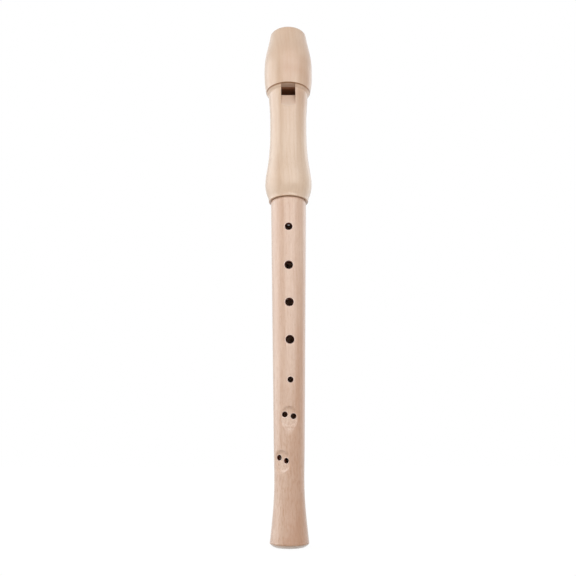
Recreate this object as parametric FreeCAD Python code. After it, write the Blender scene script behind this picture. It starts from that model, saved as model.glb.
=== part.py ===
"""Soprano recorder: a head joint and a lower joint turned from pale wood, a plug (the block) in
the head, and a cork sleeve on the tenon that joins them.

The axis is Z. The foot end stands on Z = 0 and the mouth end is up. The window and the finger
holes face -Y, the thumb hole and the hollow of the beak face +Y. Lengths are in millimetres.
"""

import FreeCAD, Part
import math
import os
from FreeCAD import Placement, Rotation, Vector

# Lower joint, heights from the foot end
LOWER_LENGTH = 206.6  # foot end to shoulder
SHOULDER_RADIUS = 11.17
SHOULDER_CHAMFER = 0.2
TAPER_LEAN = 0.0139  # radius gained for each millimetre up the straight taper
TAPER_END_HEIGHT = 57.0
NECK_RADIUS = 8.74
NECK_HEIGHT = 36.0
FOOT_RADIUS = 11.18
FOOT_RIM_LEAN = -0.105
FOOT_DOME_HEIGHT = 2.2
FOOT_LAND_RADIUS = 7.0  # flat ring that the recorder stands on
FOOT_DOME_RADIUS = 5.5

# Air column
FOOT_BORE_RADIUS = 5.0
FOOT_BORE_LENGTH = 17.0  # parallel stretch that a stand's peg fits
FOOT_BORE_CHAMFER = 0.5
TENON_BORE_RADIUS = 6.45
HEAD_BORE_RADIUS = 6.7

# Tenon, its cork and the socket
TENON_LENGTH = 22.0
TENON_CLEARANCE = 0.25
TENON_CHAMFER = 0.6
CORK_ABOVE_SHOULDER = 3.6
CORK_BELOW_END = 2.8
CORK_THICKNESS = 1.2
CORK_CHAMFER = 0.4
SOCKET_RADIUS = 9.2
SOCKET_CHAMFER = 0.4
SOCKET_RELIEF = 0.7  # room left past the tenon's end
SHOULDER_GAP = 0.2  # hairline between the shoulder and the socket's rim
FIT_CLEARANCE = 0.05

# Single finger holes, from the top, with heights as shares of the lower joint's length
FINGER_HEIGHT_SHARES = (0.9053, 0.7865, 0.6748, 0.5652, 0.4505)
FINGER_TURN_DEGREES = (0.0, 0.0, 2.0, 3.7, 5.2)
FINGER_1_DIAMETER = 4.4
FINGER_2_DIAMETER = 4.9
FINGER_3_DIAMETER = 4.85
FINGER_4_DIAMETER = 4.9
FINGER_5_DIAMETER = 3.1
THUMB_HEIGHT_SHARE = 0.9502
THUMB_DIAMETER = 4.7
HOLE_UNDERCUT_DEGREES = 8.0
HOLE_CHAMFER = 0.3

# Pairs of small holes for the ring finger and the little finger, each in a dished seat
RING_HEIGHT_SHARE = 0.3518
RING_DIAMETER = 3.05
RING_SPACING = 5.1
RING_SLOPE_DEGREES = 11.5
RING_TURN_DEGREES = 0.0
LITTLE_HEIGHT_SHARE = 0.2327
LITTLE_DIAMETER = 2.9
LITTLE_SPACING = 4.95
LITTLE_SLOPE_DEGREES = 20.0
LITTLE_TURN_DEGREES = -30.0
DISH_DEPTH = 1.4
DISH_DROP = 1.4  # middle of a dish below the middle of its pair
DISH_FLAT_RADIUS = 4.1
DISH_CORNER_RADIUS = 2.6
PAIR_CHAMFER = 0.2

# Turned outline of the head, from the socket's rim up to the mouth end
BARREL_LENGTH = 77.5  # socket's rim to the rim of the bulb
BEAK_LENGTH = 43.3  # rim of the bulb to the mouth end
RIM_RADIUS = 12.6
RIM_ROUND = 0.5
RIM_LENGTH = 1.5
RIM_LEAN = 0.14
BULGE_RADIUS = 14.93
BULGE_HEIGHT = 12.5
WAIST_RADIUS = 11.86
WAIST_HEIGHT = 49.2
COLLAR_RADIUS = 12.9  # barrel, where it starts to flare under the bulb
COLLAR_LEAN = 0.053
FLARE_LENGTH = 2.0
FLARE_END_RADIUS = 14.35
LINE_DEPTH = 0.4  # scribed line between the flare and the bulb
LINE_WIDTH = 0.45
BULB_RIM_RADIUS = 14.55
BULB_RIM_LEAN = 0.23
BULB_RADIUS = 15.9
BULB_HEIGHT_SHARE = 0.35  # fullest place, as a share of the beak's length
TIP_RADIUS = 12.0
TIP_LEAN = -0.13

# Handles of each curve at its lower and upper end, as shares of its height: long is round, short is quick
CURVE_SHARES = (0.38, 0.38)
BULGE_RISE_SHARES = (0.2, 0.6)
BULGE_FALL_SHARES = (0.2, 0.63)
COLLAR_RISE_SHARES = (0.57, 0.5)
TIP_FALL_SHARES = (0.48, 0.48)

# Windway, window and lip
WINDOW_WIDTH = 9.2
WINDOW_LENGTH = 5.5
WINDWAY_MOUTH_WIDTH = 11.4
FLOOR_ABOVE_BORE = 0.2
WINDWAY_HEIGHT = 1.0
WINDWAY_MOUTH_HEIGHT = 1.6
FLOOR_CHAMFER = 0.6
LIP_ABOVE_FLOOR = 0.4
LIP_THICKNESS = 0.15
LIP_UNDERCUT_DEGREES = 6.0
RAMP_DEGREES = 25.0

# Hollow at the back of the beak, cut by a drum that lies across the head
BEAK_DRUM_RADIUS = 50.0
BEAK_TIP_THICKNESS = 10.2  # wood left at the mouth end, behind the front of the beak
BEAK_EDGE_ROUND = 2.2

OVERRUN = 5.0  # how far every cutter runs past what it cuts

HEAD_START = LOWER_LENGTH + SHOULDER_GAP
WINDOW_TOP = HEAD_START + BARREL_LENGTH
MOUTH_END = WINDOW_TOP + BEAK_LENGTH
LIP_EDGE = WINDOW_TOP - WINDOW_LENGTH
TENON_END = LOWER_LENGTH + TENON_LENGTH
TENON_RADIUS = SOCKET_RADIUS - TENON_CLEARANCE
FLOOR_LEVEL = HEAD_BORE_RADIUS + FLOOR_ABOVE_BORE
LIP_LEVEL = FLOOR_LEVEL + LIP_ABOVE_FLOOR
UP = Vector(0, 0, 1)


def at(radius, height):
    """A point of a turned outline."""
    return Vector(radius, 0, height)


def line(start, end):
    return Part.makeLine(start, end)


def curve(start, end, start_lean, end_lean, shares=CURVE_SHARES):
    """A smooth stretch of outline that leaves and arrives with the given leans."""
    first, last = (share * (end.z - start.z) for share in shares)
    leave = at(start.x + start_lean * first, start.z + first)
    arrive = at(end.x - end_lean * last, end.z - last)
    bezier = Part.BezierCurve()
    bezier.setPoles([start, leave, arrive, end])
    return bezier.toShape()


def arc(start, end, centre):
    """The short arc from start to end about centre."""
    half_way = (start + end).multiply(1 / 2) - centre
    middle = centre + half_way.normalize().multiply((start - centre).Length)
    return Part.Arc(start, middle, end).toShape()


def crown(start, end, radius):
    """The short arc of a radius from start to end that bulges away from the axis."""
    chord = end - start
    inward = Vector(-chord.z, 0, chord.x).normalize()
    sink = math.sqrt(radius ** 2 - (chord.Length / 2) ** 2)
    return arc(start, end, start + chord.multiply(1 / 2) + inward.multiply(sink))


def turned(edges):
    """A solid of revolution from an outline that starts and ends on the axis."""
    first = edges[0].firstVertex(True).Point
    last = edges[-1].lastVertex(True).Point
    face = Part.Face(Part.Wire(edges + [line(last, first)]))
    return face.revolve(Vector(), UP, 360)


def rod(radius, low, high):
    return Part.makeCylinder(radius, high - low, at(0, low))


def cone(low_radius, high_radius, low, high):
    return Part.makeCone(low_radius, high_radius, high - low, at(0, low))


def level_prism(points, width):
    """A prism across the object, from points given as a level in front of the axis and a height."""
    corners = [Vector(-width / 2, -level, height) for level, height in points]
    face = Part.Face(Part.makePolygon(corners + corners[:1]))
    return face.extrude(Vector(width, 0, 0))


def lower_outline():
    """Outline of the lower joint, from the foot end to the end of the tenon."""
    land = at(FOOT_LAND_RADIUS, 0)
    rim = at(FOOT_RADIUS, FOOT_DOME_HEIGHT)
    neck = at(NECK_RADIUS, NECK_HEIGHT)
    shoulder = at(SHOULDER_RADIUS, LOWER_LENGTH - SHOULDER_CHAMFER)
    taper_end = at(SHOULDER_RADIUS - TAPER_LEAN * (shoulder.z - TAPER_END_HEIGHT), TAPER_END_HEIGHT)
    shoulder_top = at(SHOULDER_RADIUS - SHOULDER_CHAMFER, LOWER_LENGTH)
    tenon_foot = at(TENON_RADIUS, LOWER_LENGTH)
    tenon_side = at(TENON_RADIUS, TENON_END - TENON_CHAMFER)
    tenon_top = at(TENON_RADIUS - TENON_CHAMFER, TENON_END)
    return [
        line(at(0, 0), land),
        crown(land, rim, FOOT_DOME_RADIUS),
        curve(rim, neck, FOOT_RIM_LEAN, 0),
        curve(neck, taper_end, 0, TAPER_LEAN),
        line(taper_end, shoulder),
        line(shoulder, shoulder_top),
        line(shoulder_top, tenon_foot),
        line(tenon_foot, tenon_side),
        line(tenon_side, tenon_top),
        line(tenon_top, at(0, TENON_END)),
    ]


def lower_bore():
    """Air column of the lower joint: parallel at the foot, then widening to the tenon's end."""
    widening = (TENON_BORE_RADIUS - FOOT_BORE_RADIUS) / (TENON_END - FOOT_BORE_LENGTH)
    past_radius = TENON_BORE_RADIUS + widening * OVERRUN
    mouth_radius = FOOT_BORE_RADIUS + FOOT_BORE_CHAMFER
    parallel = rod(FOOT_BORE_RADIUS, -OVERRUN, FOOT_BORE_LENGTH)
    taper = cone(FOOT_BORE_RADIUS, past_radius, FOOT_BORE_LENGTH, TENON_END + OVERRUN)
    return parallel.fuse(taper).fuse(cone(mouth_radius, FOOT_BORE_RADIUS, 0, FOOT_BORE_CHAMFER))


def facing(height, turn_degrees):
    """Placement whose Z leaves the axis at that height; no turn faces the front."""
    out = Rotation(UP, turn_degrees).multiply(Rotation(Vector(1, 0, 0), 90))
    return Placement(at(0, height), out)


def surface_radius(body, height):
    """Outside radius of a turned body at a height."""
    probe = body.common(line(at(0, height), at(body.BoundBox.XMax + OVERRUN, height)))
    return probe.BoundBox.XMax


def drill(body, diameter, height, turn_degrees, offset):
    """A drill from outside into the bore, with the flare that undercuts the hole from inside."""
    mid_wall = (surface_radius(body, height) + FOOT_BORE_RADIUS) / 2
    flare_radius = diameter / 2 + mid_wall * math.tan(math.radians(HOLE_UNDERCUT_DEGREES))
    cutter = Part.makeCone(flare_radius, diameter / 2, mid_wall, offset)
    cutter = cutter.fuse(Part.makeCylinder(diameter / 2, body.BoundBox.XMax + OVERRUN, offset))
    cutter.Placement = facing(height, turn_degrees)
    return cutter


def dish(body, height, turn_degrees):
    """A round cutter with a flat face and a well rounded corner, for the seat of a pair at a height."""
    floor = surface_radius(body, height) - DISH_DEPTH
    side = DISH_FLAT_RADIUS + DISH_CORNER_RADIUS
    corner_top = floor + DISH_CORNER_RADIUS
    top = body.BoundBox.XMax + OVERRUN
    cutter = turned([
        line(at(0, floor), at(DISH_FLAT_RADIUS, floor)),
        arc(at(DISH_FLAT_RADIUS, floor), at(side, corner_top), at(DISH_FLAT_RADIUS, corner_top)),
        line(at(side, corner_top), at(side, top)),
        line(at(side, top), at(0, top)),
    ])
    cutter.Placement = facing(height - DISH_DROP, turn_degrees)
    return cutter


def pair_offsets(spacing, slope_degrees):
    """Places of a pair's two holes about the middle of their seat: left and high, right and low."""
    slope = math.radians(slope_degrees)
    half = Vector(math.cos(slope), -math.sin(slope), 0).multiply(spacing / 2)
    return [half.negative(), half]


def edges_on(shape, cutter, least_radius=0):
    """Edges that a cutter left on a shape, all of them further than least_radius from the axis."""
    def left_by_cutter(point):
        far = math.hypot(point.x, point.y) >= least_radius
        return far and cutter.isInside(point, FIT_CLEARANCE, True)

    return [edge for edge in shape.Edges if all(left_by_cutter(p) for p in edge.discretize(7))]


def single_holes():
    """Thumb hole and the five single finger holes: diameter, height, turn and offset of each."""
    fingers = (FINGER_1_DIAMETER, FINGER_2_DIAMETER, FINGER_3_DIAMETER, FINGER_4_DIAMETER, FINGER_5_DIAMETER)
    holes = [(THUMB_DIAMETER, THUMB_HEIGHT_SHARE * LOWER_LENGTH, 180, Vector())]
    for diameter, share, turn_degrees in zip(fingers, FINGER_HEIGHT_SHARES, FINGER_TURN_DEGREES):
        holes.append((diameter, share * LOWER_LENGTH, turn_degrees, Vector()))
    return holes


def pair_holes(diameter, height_share, turn_degrees, spacing, slope_degrees):
    """The two small holes of one seat."""
    height = height_share * LOWER_LENGTH
    return [(diameter, height, turn_degrees, offset) for offset in pair_offsets(spacing, slope_degrees)]


def lower_joint():
    """Lower joint: foot, finger holes, shoulder and tenon in one piece of wood."""
    blank = turned(lower_outline())
    joint = blank.cut(lower_bore())
    seat_low = LOWER_LENGTH + CORK_ABOVE_SHOULDER
    seat_high = TENON_END - CORK_BELOW_END
    core = rod(TENON_RADIUS - CORK_THICKNESS, seat_low, seat_high)
    joint = joint.cut(rod(TENON_RADIUS + OVERRUN, seat_low, seat_high).cut(core))
    joint = joint.cut(dish(blank, RING_HEIGHT_SHARE * LOWER_LENGTH, RING_TURN_DEGREES))
    joint = joint.cut(dish(blank, LITTLE_HEIGHT_SHARE * LOWER_LENGTH, LITTLE_TURN_DEGREES))

    ring = pair_holes(RING_DIAMETER, RING_HEIGHT_SHARE, RING_TURN_DEGREES, RING_SPACING, RING_SLOPE_DEGREES)
    little = pair_holes(
        LITTLE_DIAMETER, LITTLE_HEIGHT_SHARE, LITTLE_TURN_DEGREES, LITTLE_SPACING, LITTLE_SLOPE_DEGREES)
    softened = [(hole, HOLE_CHAMFER) for hole in single_holes()]
    softened += [(hole, PAIR_CHAMFER) for hole in ring + little]
    for hole, chamfer in softened:
        cutter = drill(blank, *hole)
        joint = joint.cut(cutter)
        seat_radius = surface_radius(blank, hole[1]) - DISH_DEPTH - FIT_CLEARANCE
        joint = joint.makeChamfer(chamfer, edges_on(joint, cutter, seat_radius))
    return joint


def tenon_cork():
    """Cork sleeve in its seat round the tenon."""
    low = LOWER_LENGTH + CORK_ABOVE_SHOULDER + FIT_CLEARANCE
    high = TENON_END - CORK_BELOW_END - FIT_CLEARANCE
    inner = TENON_RADIUS - CORK_THICKNESS + FIT_CLEARANCE
    outer = SOCKET_RADIUS - FIT_CLEARANCE
    sleeve = turned([
        line(at(0, low), at(outer - CORK_CHAMFER, low)),
        line(at(outer - CORK_CHAMFER, low), at(outer, low + CORK_CHAMFER)),
        line(at(outer, low + CORK_CHAMFER), at(outer, high - CORK_CHAMFER)),
        line(at(outer, high - CORK_CHAMFER), at(outer - CORK_CHAMFER, high)),
        line(at(outer - CORK_CHAMFER, high), at(0, high)),
    ])
    return sleeve.cut(rod(inner, low - OVERRUN, high + OVERRUN))


def head_outline():
    """Outline of the head, from the socket's rim to the mouth end."""
    rim_under = at(RIM_RADIUS - RIM_ROUND, HEAD_START)
    rim_side = at(RIM_RADIUS, HEAD_START + RIM_ROUND)
    rim_end = at(RIM_RADIUS, HEAD_START + RIM_LENGTH)
    bulge = at(BULGE_RADIUS, HEAD_START + BULGE_HEIGHT)
    waist = at(WAIST_RADIUS, HEAD_START + WAIST_HEIGHT)
    flare_end = at(FLARE_END_RADIUS, WINDOW_TOP - LINE_WIDTH)
    collar = at(COLLAR_RADIUS, flare_end.z - FLARE_LENGTH)
    scribed = at(FLARE_END_RADIUS - LINE_DEPTH, WINDOW_TOP - LINE_WIDTH / 2)
    bulb_rim = at(BULB_RIM_RADIUS, WINDOW_TOP)
    bulb = at(BULB_RADIUS, WINDOW_TOP + BULB_HEIGHT_SHARE * BEAK_LENGTH)
    tip = at(TIP_RADIUS, MOUTH_END)
    return [
        line(at(0, HEAD_START), rim_under),
        arc(rim_under, rim_side, at(rim_under.x, rim_side.z)),
        line(rim_side, rim_end),
        curve(rim_end, bulge, RIM_LEAN, 0, BULGE_RISE_SHARES),
        curve(bulge, waist, 0, 0, BULGE_FALL_SHARES),
        curve(waist, collar, 0, COLLAR_LEAN, COLLAR_RISE_SHARES),
        line(collar, flare_end),
        line(flare_end, scribed),
        line(scribed, bulb_rim),
        curve(bulb_rim, bulb, BULB_RIM_LEAN, 0),
        curve(bulb, tip, 0, TIP_LEAN, TIP_FALL_SHARES),
        line(tip, at(0, MOUTH_END)),
    ]


def windway(side_gap, exit_height, mouth_height):
    """Flat channel from the window to past the mouth end, which widens and deepens on the way."""
    past_share = (MOUTH_END + OVERRUN - WINDOW_TOP) / BEAK_LENGTH
    exit_width = WINDOW_WIDTH - 2 * side_gap
    past_width = exit_width + (WINDWAY_MOUTH_WIDTH - WINDOW_WIDTH) * past_share
    past_height = exit_height + (mouth_height - exit_height) * past_share

    def section(width, roof, height):
        sides = (-width / 2, width / 2)
        corners = [Vector(x, 0, height) for x in sides]
        corners += [Vector(x, -roof, height) for x in reversed(sides)]
        return Part.makePolygon(corners + corners[:1])

    ends = [
        section(exit_width, FLOOR_LEVEL + exit_height, WINDOW_TOP),
        section(past_width, FLOOR_LEVEL + past_height, MOUTH_END + OVERRUN),
    ]
    return Part.makeLoft(ends, True, True)


def window():
    """Window and ramp: straight sides, a square top under the bulb, and a slope out from the lip."""
    reach = BULB_RADIUS + OVERRUN
    fall = (reach - LIP_LEVEL) / math.tan(math.radians(RAMP_DEGREES))
    ramp = [(reach, WINDOW_TOP), (reach, LIP_EDGE - fall), (LIP_LEVEL, LIP_EDGE)]
    return level_prism([(0, LIP_EDGE), (0, WINDOW_TOP)] + ramp, WINDOW_WIDTH)


def lip_undercut():
    """Facet that makes the lip's edge thin and straight, and runs out in the bore below it."""
    level = LIP_LEVEL - LIP_THICKNESS
    fall = level / math.tan(math.radians(LIP_UNDERCUT_DEGREES))
    return level_prism([(0, LIP_EDGE), (level, LIP_EDGE), (0, LIP_EDGE - fall)], WINDOW_WIDTH)


def beak_drum():
    """Drum that hollows the beak, through the fullest place at the back and the mouth end."""
    low = Vector(0, BULB_RADIUS, WINDOW_TOP + BULB_HEIGHT_SHARE * BEAK_LENGTH)
    high = Vector(0, BEAK_TIP_THICKNESS - TIP_RADIUS, MOUTH_END)
    chord = high - low
    rise = math.sqrt(BEAK_DRUM_RADIUS ** 2 - (chord.Length / 2) ** 2)
    outward = Vector(0, chord.z, -chord.y).normalize()
    half_width = BULB_RADIUS + OVERRUN
    start = low + chord.multiply(1 / 2) + outward.multiply(rise) - Vector(half_width, 0, 0)
    return Part.makeCylinder(BEAK_DRUM_RADIUS, 2 * half_width, start, Vector(1, 0, 0))


def head_blank():
    """Head before it is bored: turned outline, hollowed beak, and soft edges for the lips."""
    drum = beak_drum()
    end_disc = rod(TIP_RADIUS, MOUTH_END, MOUTH_END + OVERRUN)
    blank = turned(head_outline()).cut(drum)
    edges = edges_on(blank, drum.fuse(end_disc))
    return blank.makeFillet(BEAK_EDGE_ROUND, edges)


def head_joint():
    """Head joint: socket, barrel, window, windway and beak in one piece of wood."""
    socket_end = TENON_END + SOCKET_RELIEF
    mouth_radius = SOCKET_RADIUS + SOCKET_CHAMFER
    head = head_blank().cut(rod(HEAD_BORE_RADIUS, HEAD_START - OVERRUN, MOUTH_END + OVERRUN))
    head = head.cut(rod(SOCKET_RADIUS, HEAD_START - OVERRUN, socket_end))
    head = head.cut(cone(mouth_radius, SOCKET_RADIUS, HEAD_START, HEAD_START + SOCKET_CHAMFER))
    head = head.cut(windway(0, WINDWAY_HEIGHT, WINDWAY_MOUTH_HEIGHT))
    return head.cut(window()).cut(lip_undercut())


def block():
    """Plug that is the windway's floor: a round bar with a flat tongue, flush with the beak."""
    bar = rod(HEAD_BORE_RADIUS - FIT_CLEARANCE, WINDOW_TOP, MOUTH_END)
    tongue = windway(FIT_CLEARANCE, 0, 0)
    edge = [
        (FLOOR_LEVEL, WINDOW_TOP),
        (FLOOR_LEVEL - FLOOR_CHAMFER, WINDOW_TOP),
        (FLOOR_LEVEL, WINDOW_TOP + FLOOR_CHAMFER),
    ]
    return bar.fuse(tongue).cut(level_prism(edge, WINDWAY_MOUTH_WIDTH)).common(head_blank())


def main():
    os.makedirs("parts", exist_ok=True)
    nodes = {
        "head_joint": head_joint,
        "block": block,
        "lower_joint": lower_joint,
        "tenon_cork": tenon_cork,
    }
    for name, make in nodes.items():
        shape = make()
        print(name, "solids", len(shape.Solids), "valid", shape.isValid(), "volume", round(shape.Volume, 1))
        shape.exportStep("parts/" + name + ".step")


if __name__ == "__main__":
    main()
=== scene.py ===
"""Looks of a soprano recorder: turned and drilled wood, a cork sleeve and a plain pale studio."""

import math

import bpy
from bpy.props import FloatProperty, FloatVectorProperty, IntProperty, PointerProperty
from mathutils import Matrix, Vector


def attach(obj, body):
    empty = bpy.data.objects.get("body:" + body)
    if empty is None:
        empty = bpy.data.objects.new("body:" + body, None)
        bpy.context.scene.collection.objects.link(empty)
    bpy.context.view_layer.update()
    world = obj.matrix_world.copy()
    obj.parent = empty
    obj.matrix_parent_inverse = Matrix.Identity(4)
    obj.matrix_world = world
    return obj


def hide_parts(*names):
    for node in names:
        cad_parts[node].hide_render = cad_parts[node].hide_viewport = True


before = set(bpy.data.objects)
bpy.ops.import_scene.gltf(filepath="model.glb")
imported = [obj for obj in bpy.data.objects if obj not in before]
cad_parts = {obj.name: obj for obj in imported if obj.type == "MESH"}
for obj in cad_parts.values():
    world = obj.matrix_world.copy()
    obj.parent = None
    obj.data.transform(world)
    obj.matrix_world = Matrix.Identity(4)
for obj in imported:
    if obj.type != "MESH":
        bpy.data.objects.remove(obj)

bl_info = {
    "name": "Soprano recorder",
    "version": (1, 0, 0),
    "blender": (4, 5, 0),
    "location": "View3D > Sidebar > Recorder",
    "description": "Finishes the packed soprano recorder in wood and cork and sets its studio",
    "category": "Object",
}

MM = 0.001

# Socket types of the geometry trees
GEOMETRY = "NodeSocketGeometry"
NUMBER = "NodeSocketFloat"
COUNT = "NodeSocketInt"
MATERIAL = "NodeSocketMaterial"

# Kinds of node that come up often. A colour mix has its share in socket 0, its colours in 6 and 7
# and its result in output 2.
MATH = "ShaderNodeMath"
VECTOR_MATH = "ShaderNodeVectorMath"
MAP_RANGE = "ShaderNodeMapRange"
SEPARATE = "ShaderNodeSeparateXYZ"
COMBINE = "ShaderNodeCombineXYZ"
ROTATE = "ShaderNodeVectorRotate"
NOISE = "ShaderNodeTexNoise"
MIX = "ShaderNodeMix"
COORDINATES = "ShaderNodeTexCoord"
POSITION = "GeometryNodeInputPosition"
SET_POSITION = "GeometryNodeSetPosition"
STORE = "GeometryNodeStoreNamedAttribute"
TREE = "GeometryNodeGroup"
OUTPUT = "NodeGroupOutput"

# Outline of the lower joint as the solid has it: radius and height in mm, foot to tenon
FOOT_LAND = (7.0, 0.0)
FOOT_RIM = (11.18, 2.2)
FOOT_DOME_RADIUS = 5.5
FOOT_RIM_LEAN = -0.105
NECK = (8.74, 36.0)
TAPER_LEAN = 0.0139
TAPER_END_HEIGHT = 57.0
LOWER_LENGTH = 206.6
SHOULDER_RADIUS = 11.17
SHOULDER_SOFTNESS = 0.2
TENON_RADIUS = 8.95
TENON_END = 228.6
TENON_CHAMFER = 0.6
TENON_ROUND = 0.2
CORK_SEAT = (7.75, 210.2, 225.8)  # radius, lower and upper end
CORK_SEAT_EASE = 0.15
CORK_SLEEVE = (7.8, 9.15, 210.25, 225.75)  # inner and outer radius, lower and upper end
CORK_CHAMFER = 0.4
BORE = ((6.45, 228.6), (5.0, 17.0), (5.0, 0.5), (5.5, 0.0))

# Rows of the turned outlines: counts, and steps in mm that are short where a seat is dished
FOOT_DOME_ROWS = 8
FLARE_STEP = 1.5
SEAT_STEP = 0.3
BETWEEN_STEP = 2.5
UPPER_STEP = 3.0
UPPER_SEAT_ROWS = (65.5, 80.5)  # heights between which the upper seat lies
CORK_ROWS = 36

# Holes of the lower joint: diameter, height and turn from the front in degrees
SINGLE_HOLES = (
    (4.7, 196.31, 180), (4.4, 187.03, 0), (4.9, 162.49, 0), (4.85, 139.41, 2),
    (4.9, 116.77, 3.7), (3.1, 93.07, 5.2))
# Pairs in a dished seat: diameter, spacing, slope in degrees, height and turn
PAIRS = ((3.05, 5.1, 11.5, 72.68, 0), (2.9, 4.95, 20.0, 48.08, -30))
SEAT_DROP = 1.4  # middle of a seat below the middle of its pair
SEAT_FLAT_RADIUS = 4.1
SEAT_CORNER_RADIUS = 2.6
SEAT_WALL_SLOPE = 5.0

# A hole's cutter, from the bore outwards: shares of its length where each part of it ends
UNDERCUT_END = 0.2
WALL_END = 0.4
RIM_END = 0.8

# Scribed line of the head: lower and upper edge in mm
SCRIBED_LINE = (283.5, 284.32)


def linear(hex_colour):
    """Linear RGB of an sRGB hex colour such as E8D2B8."""
    shares = [int(hex_colour[i:i + 2], 16) / 255 for i in (0, 2, 4)]
    return tuple(s / 12.92 if s <= 0.04045 else ((s + 0.055) / 1.055) ** 2.4 for s in shares)


def colour_setting(name, description, hex_colour):
    return FloatVectorProperty(
        name=name, description=description, default=linear(hex_colour), subtype="COLOR", size=3, min=0, max=1)


def length_setting(name, description, millimetres):
    return FloatProperty(
        name=name, description=description, default=millimetres * MM, min=0, subtype="DISTANCE",
        unit="LENGTH", precision=5)


def power_setting(name, description, watts):
    return FloatProperty(name=name, description=description, default=watts, min=0, unit="POWER")


class RecorderHoles(bpy.types.PropertyGroup):
    """How the lower joint is drilled and dished"""
    rim: length_setting("Hole rim", "How far the rims of the single holes are rounded", 0.55)
    pair_rim: length_setting("Pair rim", "How far the rims of the paired holes are rounded", 0.4)
    undercut: FloatProperty(
        name="Undercut", description="How much each hole widens towards the bore", default=math.radians(8),
        min=0, subtype="ANGLE", unit="ROTATION")
    seat_depth: length_setting("Seat depth", "Depth of the dished seats under the paired holes", 1.4)
    seat_softness: length_setting(
        "Seat softness", "How wide the edge of a seat is blended into the round", 0.9)
    segments: IntProperty(
        name="Segments", description="Facets round the lower joint", default=192, min=48, max=256)


class RecorderCork(bpy.types.PropertyGroup):
    """How the cork sleeve is sanded"""
    unevenness: length_setting("Unevenness", "How deep the pores of the sanded cork are", 0.12)
    seed: FloatProperty(name="Seed", description="Which cork sheet the sleeve is cut from", default=2.0)
    segments: IntProperty(
        name="Segments", description="Facets round the cork sleeve", default=128, min=48, max=256)


class RecorderColours(bpy.types.PropertyGroup):
    """Colours of the woods and of the cork"""
    head_light: colour_setting("Head, light", "Early wood of the head joint", "DDC3AB")
    head_dark: colour_setting("Head, dark", "Late wood of the head joint", "CEAC8E")
    end_grain: colour_setting("End grain", "Maple cut across, which drinks more oil", "A67A58")
    # Dark line painted under the bulb, and painted shade in the ramp's corners and at the foot's sharp edge
    dark_line_and_shade: colour_setting("Scribed line", "Burnt line under the bulb, and the dark edges", "A67A56")
    lower_light: colour_setting("Lower joint, light", "Early wood of the lower joint", "DFC1AB")
    lower_dark: colour_setting("Lower joint, dark", "Late wood of the lower joint", "C69D82")
    # Also used for painted shade: the browner right side of the head and of the lower joint is partly painted
    # shade
    heart_and_shade: colour_setting("Heartwood", "Browner wood, as in the bulb's stain and the foot's flecks", "B4805C")
    # Also used as painted light where it pales the window's ramp and roof
    seat: colour_setting("Cut wood", "Wood pared across the grain, in a seat or at the window", "EED6C4")
    # Painted shade on a seat's upper slope, which faces down
    seat_top_shade: colour_setting(
        "Top of a seat", "Upper slope of a seat, where the fibres are cut on the rise", "B48C6C")
    # Pale rims round the holes: partly worn wood, partly painted highlight
    rim: colour_setting("Rim", "Rims of the holes, where the oil wears off", "F8E6D8")
    # Painted shade and painted floor reflection on the round under the foot
    foot: colour_setting("Foot", "Round under the foot, where the bare end grain greys", "C9BDB2")
    # Painted shade in the drilled holes
    drilled: colour_setting("Drilled wood", "Wood inside the drilled holes", "763C28")
    block_light: colour_setting("Block, light", "Early wood of the block", "B98058")
    block_dark: colour_setting("Block, dark", "Late wood of the block", "8A5434")
    cork_light: colour_setting("Cork, light", "Grains of the cork sleeve", "C99F70")
    cork_dark: colour_setting("Cork, dark", "Pores of the cork sleeve", "7A5030")


class RecorderStudio(bpy.types.PropertyGroup):
    """Light and floor"""
    key_power: power_setting(
        "Softbox", "Power of the wide soft light that draws the gloss down the front", 8.6)
    left_power: power_setting(
        "Left edge light", "Power of the soft light that makes the left edge pale", 5.8)
    right_power: power_setting(
        "Right edge light", "Power of the soft light behind that makes the right edge pale", 1.1)
    front: FloatProperty(
        name="Front", description="Strength of the white surroundings before the object", default=0.15, min=0)
    back: FloatProperty(
        name="Back", description="Strength of the white surroundings behind the object", default=0.6, min=0)
    floor: colour_setting("Floor", "Colour of the floor", "F0F0EE")


def opaque(colour):
    """An RGB colour with its alpha, or an output as it is."""
    return colour if isinstance(colour, bpy.types.NodeSocket) else (*colour, 1.0)


def add_node(tree, kind, inputs=None, **settings):
    """Adds a node with its settings, then its inputs by name or number.

    An input takes a value, an output, or a node whose first output is meant.
    """
    node = tree.nodes.new(kind)
    for name, value in settings.items():
        setattr(node, name, value)
    for socket, value in (inputs or {}).items():
        if isinstance(value, bpy.types.Node):
            value = value.outputs[0]
        if isinstance(value, bpy.types.NodeSocket):
            tree.links.new(value, node.inputs[socket])
        else:
            node.inputs[socket].default_value = value
    return node


# Geometry: trees for turning, dishing and drilling

def new_tree(name, sockets):
    """A geometry tree with named inputs, given as label and socket type, and one geometry output."""
    tree = bpy.data.node_groups.new(name, "GeometryNodeTree")
    for label, socket_type in sockets.items():
        tree.interface.new_socket(label, in_out="INPUT", socket_type=socket_type)
    tree.interface.new_socket("Mesh", in_out="OUTPUT", socket_type=GEOMETRY)
    return tree, tree.nodes.new("NodeGroupInput").outputs


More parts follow.
